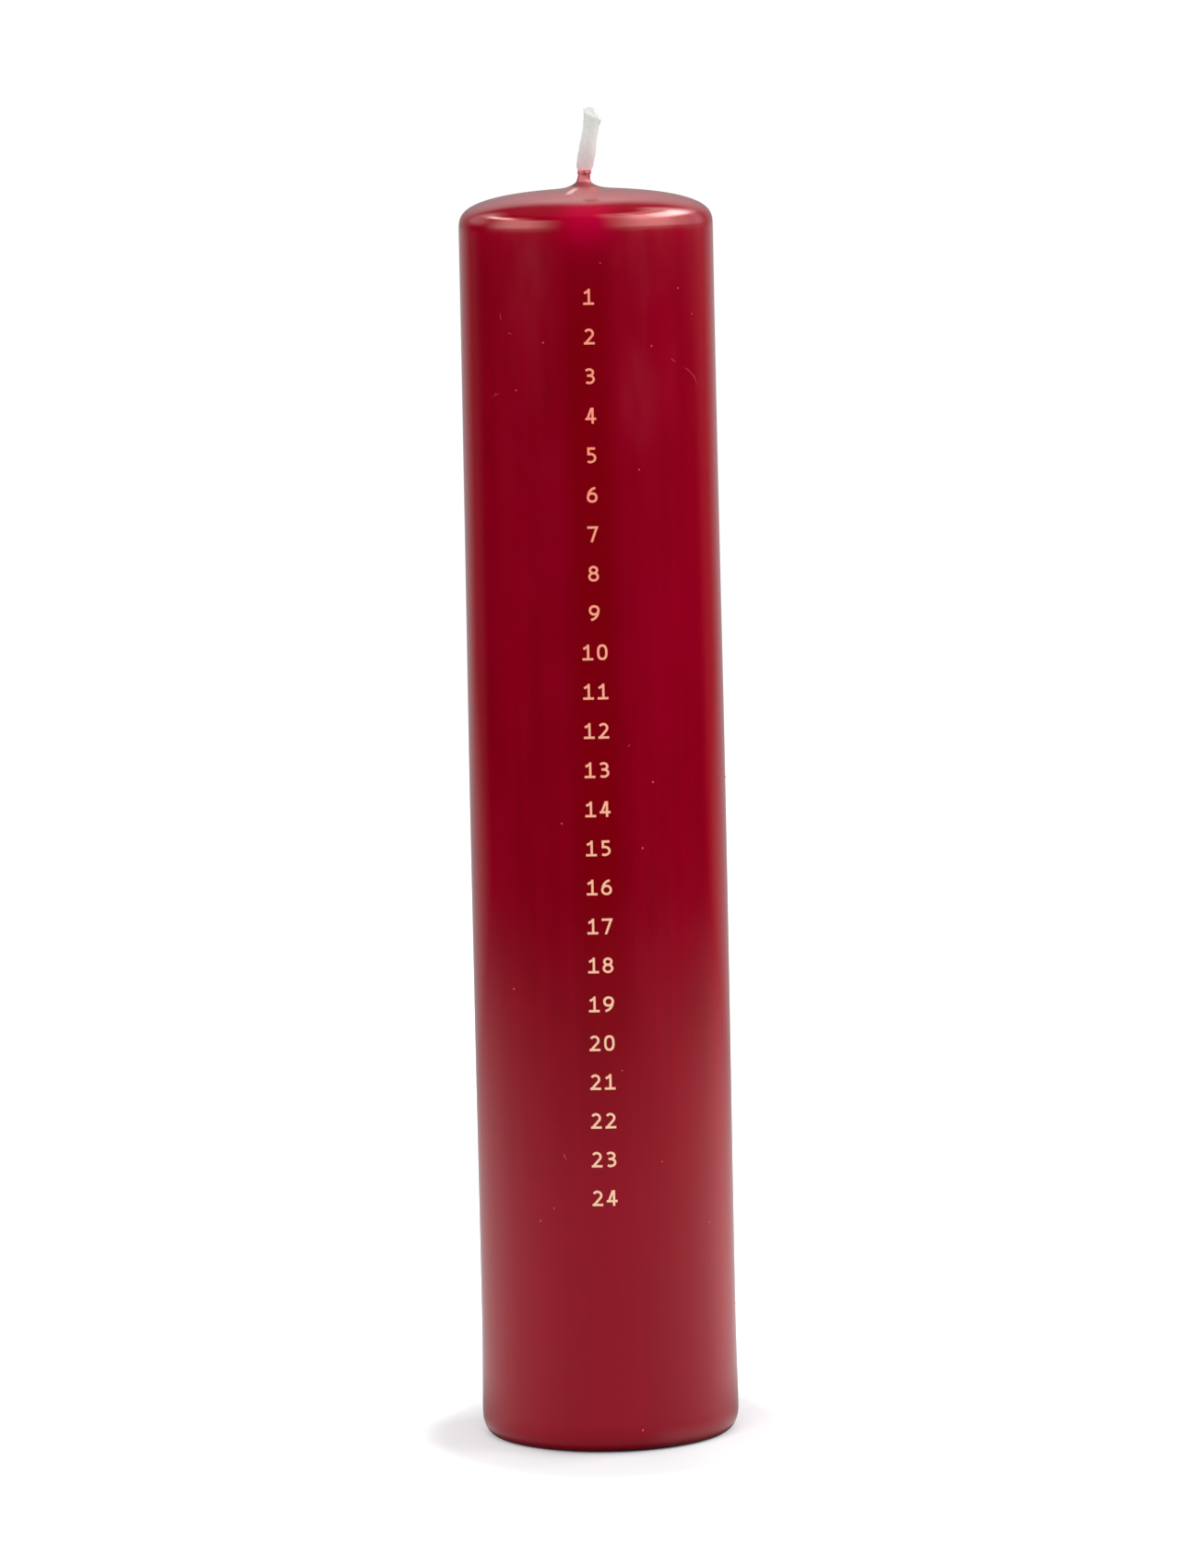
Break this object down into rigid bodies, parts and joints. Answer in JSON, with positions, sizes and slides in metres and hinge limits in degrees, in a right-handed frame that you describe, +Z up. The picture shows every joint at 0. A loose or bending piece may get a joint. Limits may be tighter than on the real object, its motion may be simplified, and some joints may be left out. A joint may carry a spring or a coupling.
{
  "type": "calendar candle",
  "caption": "Tall dipped pillar candle with a rounded shoulder, a cut wick and a column of gold foil numerals that count the days as it burns down.",
  "frame": {"origin": "middle of the base, on the surface that the candle stands on", "axes": "+Z up along the candle's axis to the wick, +X to the right as the numerals are read, -Y towards the reader, so the numerals face -Y"},
  "size_m": [0.05, 0.05, 0.2573],
  "materials": {
    "red_wax": "dark red dipping wax, satin gloss, slightly translucent",
    "core_wax": "pale pressed paraffin, matt, slightly translucent",
    "wick_cotton": "bleached braided cotton, primed with wax",
    "tinplate": "stamped tinplate",
    "gold_foil": "hot-stamped gold foil, satin"
  },
  "bodies": {
    "root": {"wax_core": "core_wax", "dipped_skin": "red_wax", "wick": "wick_cotton", "wick_sustainer": "tinplate", "numeral_01": "gold_foil", "numeral_02": "gold_foil", "numeral_03": "gold_foil", "numeral_04": "gold_foil", "numeral_05": "gold_foil", "numeral_06": "gold_foil", "numeral_07": "gold_foil", "numeral_08": "gold_foil", "numeral_09": "gold_foil", "numeral_10": "gold_foil", "numeral_11": "gold_foil", "numeral_12": "gold_foil", "numeral_13": "gold_foil", "numeral_14": "gold_foil", "numeral_15": "gold_foil", "numeral_16": "gold_foil", "numeral_17": "gold_foil", "numeral_18": "gold_foil", "numeral_19": "gold_foil", "numeral_20": "gold_foil", "numeral_21": "gold_foil", "numeral_22": "gold_foil", "numeral_23": "gold_foil", "numeral_24": "gold_foil"}
  },
  "joints": []
}
